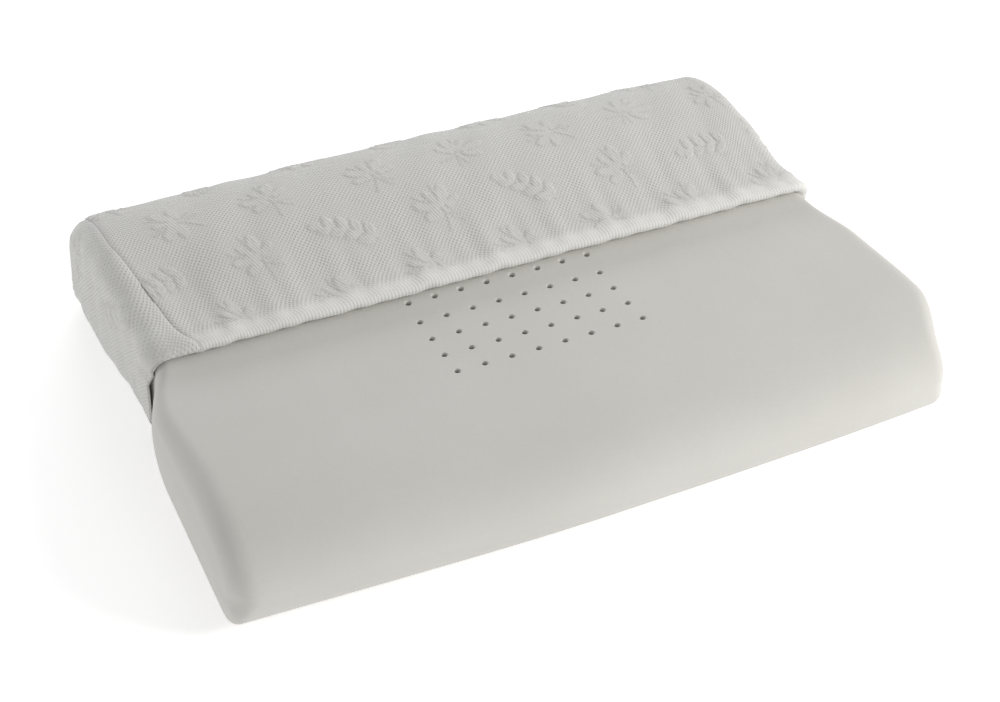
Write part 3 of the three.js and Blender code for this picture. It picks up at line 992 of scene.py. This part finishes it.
def stitched_cord(name, node, path, materials):
    """A sunken line of stitches along a path of points."""
    step = np.linalg.norm(np.diff(path, axis=0), axis=1)
    along = np.r_[0, np.cumsum(step)]
    even = np.arange(0, along[-1], STITCH_LENGTH / STITCH_STEPS)
    path = np.stack([np.interp(even, along, path[:, i]) for i in range(3)], axis=-1)
    tangent = np.gradient(path, axis=0)
    tangent /= np.linalg.norm(tangent, axis=1, keepdims=True)
    never_along_a_seam = [0.3, 0.5, 1.0]
    side = np.cross(tangent, never_along_a_seam)
    side /= np.linalg.norm(side, axis=1, keepdims=True)
    up = np.cross(side, tangent)
    sides = THREAD_SIDES
    turn = np.linspace(0, 2 * math.pi, sides, endpoint=False)
    radius = THREAD_RADIUS * (0.55 + 0.45 * np.abs(np.sin(math.pi * even / STITCH_LENGTH)))
    ring = side[:, None] * np.cos(turn)[None, :, None] + up[:, None] * np.sin(turn)[None, :, None]
    points = path[:, None] + ring * radius[:, None, None]
    faces = quad_faces(len(path), sides, closed_columns=True).tolist()
    faces.append(list(range(sides)))
    faces.append(list(range(len(path) * sides - 1, (len(path) - 1) * sides - 1, -1)))
    cord = add_mesh(name, points.reshape(-1, 3), faces, "cover", materials)
    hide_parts(node)


def end_seam_path(side):
    """From the fold over the back lobe, round the back and forwards underneath."""
    upper = np.linspace(FOLD_RADIUS, UPPER.length, SEAM_POINTS)
    lower = np.linspace(LOWER.length, FOLD_RADIUS, SEAM_POINTS)[1:]
    parts = []
    for profile, distance in ((UPPER, upper), (LOWER, lower)):
        on_top = profile is UPPER
        slack = 1 - smooth((distance - FOLD_RADIUS) / FOLD_RISE_REACH)
        rise = (FOLD_RISE if on_top else 0) * slack
        seam = seam_reach(side, profile, distance)
        x, lift = wrapped(seam, OUTER_OFFSET - SEAM_DIP + SEAM_THREAD_LIFT + rise)
        flat = profile.points(distance) + profile.normals(distance) * lift[:, None]
        part = relax(np.column_stack([side * x, flat]))
        part[:, 1] -= fold_forward(distance) if on_top else 0
        parts.append(part)
    return np.concatenate(parts)


def back_seam_path(profile, height):
    """Across the back face at a height, from end seam to end seam."""
    distance = profile.distance_at_height(height)
    left, right = (seam_reach(side, profile, distance) for side in (-1, 1))
    across = np.linspace(-left, right, SEAM_POINTS)
    x, lift = wrapped(across, OUTER_OFFSET - SEAM_DIP + SEAM_THREAD_LIFT)
    flat = profile.points(distance) + profile.normals(distance) * lift[:, None]
    return relax(np.column_stack([x, flat]))


def add_seams(materials):
    """The cover's four lines of stitches."""
    stitched_cord("left_seam_stitches", "left_end_seam", end_seam_path(-1), materials)
    stitched_cord("right_seam_stitches", "right_end_seam", end_seam_path(1), materials)
    upper = back_seam_path(UPPER, UPPER_SEAM_Z)
    lower = back_seam_path(LOWER, LOWER_SEAM_Z)
    stitched_cord("upper_back_stitches", "upper_back_seam", upper, materials)
    stitched_cord("lower_back_stitches", "lower_back_seam", lower, materials)


# ---------------------------------------------------------------- materials

class Nodes:
    """A new material's node tree, with short calls to add and join its nodes. Values are numbers or
    sockets."""

    def __init__(self, name):
        self.material = bpy.data.materials.new(name)
        self.material.use_nodes = True
        self.tree = self.material.node_tree
        self.shader = self.tree.nodes["Principled BSDF"]

    def add(self, kind, **settings):
        node = self.tree.nodes.new(kind)
        for key, value in settings.items():
            setattr(node, key, value)
        return node

    def feed(self, value, socket):
        """Sets a socket to a number or a colour, or joins another socket to it."""
        if isinstance(value, (int, float)):
            socket.default_value = value
        elif isinstance(value, tuple):
            socket.default_value = (*value, 1)
        else:
            self.tree.links.new(value, socket)

    def set_shader(self, values):
        for name, value in values.items():
            self.feed(value, self.shader.inputs[name])

    def maths(self, operation, *values):
        node = self.add("ShaderNodeMath", operation=operation)
        for socket, value in zip(node.inputs, values):
            self.feed(value, socket)
        return node.outputs[0]

    def plus(self, first, second):
        return self.maths("ADD", first, second)

    def times(self, first, second):
        return self.maths("MULTIPLY", first, second)

    def wave(self, value, length):
        """A sine wave of a given wavelength."""
        return self.maths("SINE", self.times(value, 2 * math.pi / length))

    def between(self, share, low, high):
        """A value that goes from low to high as the share goes from 0 to 1."""
        return self.plus(self.times(low, self.maths("SUBTRACT", 1.0, share)), self.times(high, share))

    def place(self):
        """Where a point is on its object, in metres."""
        return self.add("ShaderNodeTexCoord").outputs["Object"]

    def attribute(self, name, output="Fac"):
        return self.add("ShaderNodeAttribute", attribute_name=name).outputs[output]

    def axes(self, vector):
        node = self.add("ShaderNodeSeparateXYZ")
        self.feed(vector, node.inputs[0])
        return tuple(node.outputs)

    def noise(self, vector, scale, detail=2.0, roughness=0.5):
        node = self.add("ShaderNodeTexNoise")
        names = ("Vector", "Scale", "Detail", "Roughness")
        for name, value in zip(names, (vector, scale, detail, roughness)):
            self.feed(value, node.inputs[name])
        return node.outputs[0]

    def blend(self, share, low, high):
        """A colour between two, by a share from 0 to 1."""
        node = self.add("ShaderNodeMix", data_type="RGBA")
        self.feed(share, node.inputs["Factor"])
        colours = [socket for socket in node.inputs if socket.type == "RGBA"]
        for socket, colour in zip(colours, (low, high)):
            self.feed(colour, socket)
        return next(socket for socket in node.outputs if socket.type == "RGBA")

    def span(self, value, low, high, new_low, new_high):
        """A value moved from one range to another, and held inside it."""
        node = self.add("ShaderNodeMapRange")
        for socket, number in zip(node.inputs, (value, low, high, new_low, new_high)):
            self.feed(number, socket)
        return node.outputs["Result"]

    def bump(self, height, distance, strength=1.0, after=None):
        """A normal raised by a height, on top of an earlier normal if there is one."""
        node = self.add("ShaderNodeBump")
        self.feed(distance, node.inputs["Distance"])
        self.feed(strength, node.inputs["Strength"])
        self.feed(height, node.inputs["Height"])
        if after is not None:
            self.feed(after, node.inputs["Normal"])
        return node.outputs["Normal"]

    def finish(self, colour, roughness, normal):
        self.set_shader({"Base Color": colour, "Roughness": roughness, "Normal": normal})
        return self.material


def foam_material():
    """Matt off-white foam: fine open cells, faint warm clouding and slightly uneven skin."""
    nodes = Nodes("foam")
    place = nodes.place()
    cloud = nodes.noise(place, 9, 3)
    fleck = nodes.noise(place, 420, 2, 0.6)
    tone = nodes.blend(nodes.span(cloud, 0.35, 0.65, 0, 1), FOAM_DARK, FOAM_LIGHT)
    grain = nodes.span(fleck, 0.3, 0.7, 0, 1)
    colour = nodes.blend(nodes.times(grain, 0.10), tone, FOAM_CELL)
    cells = nodes.noise(place, 1500, 2, 0.7)
    skin = nodes.noise(place, 130, 3, 0.55)
    normal = nodes.bump(cells, 0.0002, 0.35)
    normal = nodes.bump(skin, 0.0005, 0.25, normal)
    roughness = nodes.span(cloud, 0.3, 0.7, 0.82, 0.92)
    nodes.set_shader({"Sheen Weight": 0.08, "Sheen Roughness": 0.5, "Specular IOR Level": 0.3})
    return nodes.finish(colour, roughness, normal)


def knit_pattern(nodes, x, y, band, near, in_motif, place):
    """The knit's height from 0 to about 1: a lattice of pips, with slanting ribs near the motifs, a
    hatch on them, and ribs over the folded edge."""
    wobble = nodes.times(nodes.noise(place, 0.08, 1), 2.5)
    falling = nodes.plus(nodes.plus(x, y), wobble)
    rising = nodes.plus(nodes.maths("SUBTRACT", x, y), wobble)
    lattice = nodes.times(nodes.wave(falling, 2 * PIP_PITCH), nodes.wave(rising, 2 * PIP_PITCH))
    holes = nodes.maths("POWER", nodes.maths("ABSOLUTE", lattice), 2.2)
    pips = nodes.maths("SUBTRACT", 1.0, holes)
    ribs = nodes.maths("MULTIPLY_ADD", nodes.wave(falling, PIP_PITCH), 0.5, 0.5)
    slanting = nodes.plus(x, nodes.times(y, 0.3))
    hatch = nodes.maths("MULTIPLY_ADD", nodes.wave(slanting, HATCH_PITCH), 0.25, 0.75)
    edge_ribs = nodes.maths("MULTIPLY_ADD", nodes.wave(x, EDGE_RIB_PITCH), 0.2, 1.1)
    pattern = nodes.between(nodes.span(near, 0.3, 0.9, 0, 0.35), pips, ribs)
    pattern = nodes.between(in_motif, pattern, hatch)
    return nodes.between(band, pattern, edge_ribs)


def knit_material():
    """Light jacquard knit, painted darker in its hollows as shade, with painted shade round the motifs'
    edges, a painted highlight along the folded edge and a soft sheen.
    """
    nodes = Nodes("knitted_cloth")
    place = nodes.attribute("cloth_place", "Vector")
    raised, near, band = (nodes.attribute(name) for name in ("raised", "near_motif", "fold_band"))
    x, y, _ = nodes.axes(place)
    in_motif = nodes.span(raised, 0.15 * MOTIF_HEIGHT, 0.5 * MOTIF_HEIGHT, 0, 1)
    pattern = knit_pattern(nodes, x, y, band, near, in_motif, place)
    yarn = nodes.noise(nodes.place(), 2600, 2, 0.6)
    normal = nodes.bump(yarn, 0.0002, 0.3)
    normal = nodes.bump(pattern, KNIT_DEPTH, 0.9, normal)
    # The knit is painted darker in its hollows, as shade, and lighter on its pips and ribs.
    tone = nodes.blend(nodes.span(pattern, 0.0, 1.0, 0, 1), KNIT_HOLLOW_SHADE, KNIT_LIGHT)
    # Painted shade round each motif's edge, where the raised cloth meets the flat, in place of the
    # shade of its relief.
    motif_edge_shade = nodes.span(raised, 0, 0.45 * MOTIF_HEIGHT, 0, math.pi)
    motif_edge_shade = nodes.times(nodes.maths("SINE", motif_edge_shade), OUTLINE_SHADE_STRENGTH)
    tone = nodes.blend(motif_edge_shade, tone, KNIT_HOLLOW_SHADE)
    # Painted highlight: the band along the folded edge is painted lighter.
    tone = nodes.blend(band, tone, KNIT_FOLD_HIGHLIGHT)
    cloud = nodes.noise(nodes.place(), 14, 2)
    colour = nodes.blend(nodes.span(cloud, 0.3, 0.7, 0, 0.25), tone, KNIT_CLOUD)
    nodes.set_shader({"Sheen Weight": 0.25, "Sheen Roughness": 0.4, "Specular IOR Level": 0.25})
    return nodes.finish(colour, nodes.span(in_motif, 0, 1, 0.88, 0.78), normal)


def thread_material():
    """Spun thread, finely mottled."""
    nodes = Nodes("thread")
    twist = nodes.noise(nodes.place(), 1800, 2, 0.6)
    colour = nodes.blend(twist, THREAD_DARK, THREAD_LIGHT)
    nodes.set_shader({"Sheen Weight": 0.2})
    return nodes.finish(colour, 0.8, nodes.bump(twist, 0.0002, 0.5))


def webbing_material():
    """Woven zip tape: fine ribs along it and across it."""
    nodes = Nodes("webbing")
    x, _, z = nodes.axes(nodes.place())
    crossed = nodes.times(nodes.wave(x, TAPE_RIB_PITCH), nodes.wave(z, TAPE_RIB_PITCH))
    weave = nodes.maths("MULTIPLY_ADD", crossed, 0.5, 0.5)
    colour = nodes.blend(weave, TAPE_DARK, TAPE_LIGHT)
    nodes.set_shader({"Sheen Weight": 0.15})
    return nodes.finish(colour, 0.85, nodes.bump(weave, 0.0002, 0.7))


def nylon_material():
    """Off-white zip coil: the turns of the coil show as a fine screw along it."""
    nodes = Nodes("nylon")
    x, _, z = nodes.axes(nodes.place())
    turns = nodes.maths("MULTIPLY_ADD", x, 2 * math.pi / COIL_PITCH, nodes.times(z, COIL_SLANT))
    coil = nodes.maths("MULTIPLY_ADD", nodes.maths("SINE", turns), 0.5, 0.5)
    colour = nodes.blend(coil, NYLON_DARK, NYLON_LIGHT)
    return nodes.finish(colour, 0.45, nodes.bump(coil, 0.0004, 0.8))


def zip_metal_material():
    """Satin zinc with light handling marks."""
    nodes = Nodes("zip_metal")
    marks = nodes.noise(nodes.place(), 700, 4, 0.65)
    colour = nodes.blend(marks, METAL_DARK, METAL_LIGHT)
    nodes.set_shader({"Metallic": 1.0})
    roughness = nodes.span(marks, 0.3, 0.7, 0.28, 0.5)
    return nodes.finish(colour, roughness, nodes.bump(marks, 0.0001, 0.3))


def dress_zip():
    """The zip's own solids keep their shape and get their materials."""
    tape, nylon, metal = webbing_material(), nylon_material(), zip_metal_material()
    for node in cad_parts:
        if not node.startswith("zip_"):
            continue
        is_metal = node in ("zip_slider", "zip_pull")
        material = tape if "tape" in node else metal if is_metal else nylon
        for slot in bpy.data.objects[node].material_slots:
            slot.material = material


# ---------------------------------------------------------------- studio

def camera_axes():
    """The camera's right, up and backward directions."""
    angles = (CAMERA_AZIMUTH, CAMERA_ELEVATION, CAMERA_ROLL)
    turn, rise, roll = (math.radians(angle) for angle in angles)
    level = math.cos(rise)
    back = Vector((math.sin(turn) * level, -math.cos(turn) * level, math.sin(rise)))
    right = Vector((math.cos(turn), math.sin(turn), 0))
    up = back.cross(right)
    tilted_right = right * math.cos(roll) + up * math.sin(roll)
    tilted_up = up * math.cos(roll) - right * math.sin(roll)
    return tilted_right, tilted_up, back


def add_camera():
    """Looks at its target from the angles above."""
    right, up, back = camera_axes()
    data = bpy.data.cameras.new("camera")
    data.sensor_width = 36
    data.lens = CAMERA_LENS
    data.clip_end = 50
    matrix = Matrix((right, up, back)).transposed().to_4x4()
    matrix.translation = (Vector(CAMERA_TARGET) + back * CAMERA_DISTANCE) * MM
    camera = add_object("camera", data)
    camera.matrix_world = matrix
    bpy.context.scene.camera = camera


def add_light(name, place, width, power, colour):
    """A round soft light at a place, aimed at the pillow."""
    data = bpy.data.lights.new(name, "AREA")
    data.shape = "DISK"
    data.size = width
    data.energy = power
    data.color = colour
    light = add_object(name, data)
    light.location = place
    aim = Vector(LIGHT_TARGET) - Vector(place)
    light.rotation_euler = aim.to_track_quat("-Z", "Y").to_euler()


def add_floor():
    """A plain white floor just under the pillow."""
    mesh = bpy.data.meshes.new("floor")
    corners = [(x * FLOOR_REACH, y * FLOOR_REACH, 0) for x, y in ((-1, -1), (1, -1), (1, 1), (-1, 1))]
    mesh.from_pydata(corners, [], [(0, 1, 2, 3)])
    floor = add_object("floor", mesh)
    floor.location.z = -FLOOR_BELOW
    nodes = Nodes("floor")
    nodes.set_shader({"Base Color": (0.95, 0.95, 0.95), "Roughness": 0.9})
    nodes.set_shader({"Emission Color": (1, 1, 1), "Emission Strength": FLOOR_GLOW})
    mesh.materials.append(nodes.material)


def light_studio():
    """Soft white light from all round, a key light and two fills."""
    world = bpy.data.worlds.new("studio")
    world.use_nodes = True
    background = world.node_tree.nodes["Background"]
    background.inputs["Color"].default_value = (1, 1, 1, 1)
    background.inputs["Strength"].default_value = AMBIENT
    bpy.context.scene.world = world
    bpy.context.scene.view_settings.view_transform = "Standard"
    add_light("key", (1.75, -1.2, 1.1), 1.0, KEY_POWER, WARM_WHITE)
    add_light("left_fill", (-2.2, 0.7, 0.35), 1.4, SIDE_POWER, COOL_WHITE)
    add_light("rim", (0.4, 2.2, 1.1), 1.2, RIM_POWER, COOL_WHITE)


def build():
    """The pillow, then the studio round it."""
    knit = [knit_material()]
    add_core(foam_material())
    add_top_panel(knit)
    add_bottom_panel(knit)
    add_back_panel(knit)
    add_end_panel("left_end_panel", "cover_left_end_panel", -1, LEFT_BULGE, LEFT_FLARE, knit)
    add_end_panel("right_end_panel", "cover_right_end_panel", 1, RIGHT_BULGE, RIGHT_FLARE, knit)
    add_seams([thread_material()])
    dress_zip()
    add_floor()
    light_studio()


add_camera()
build()
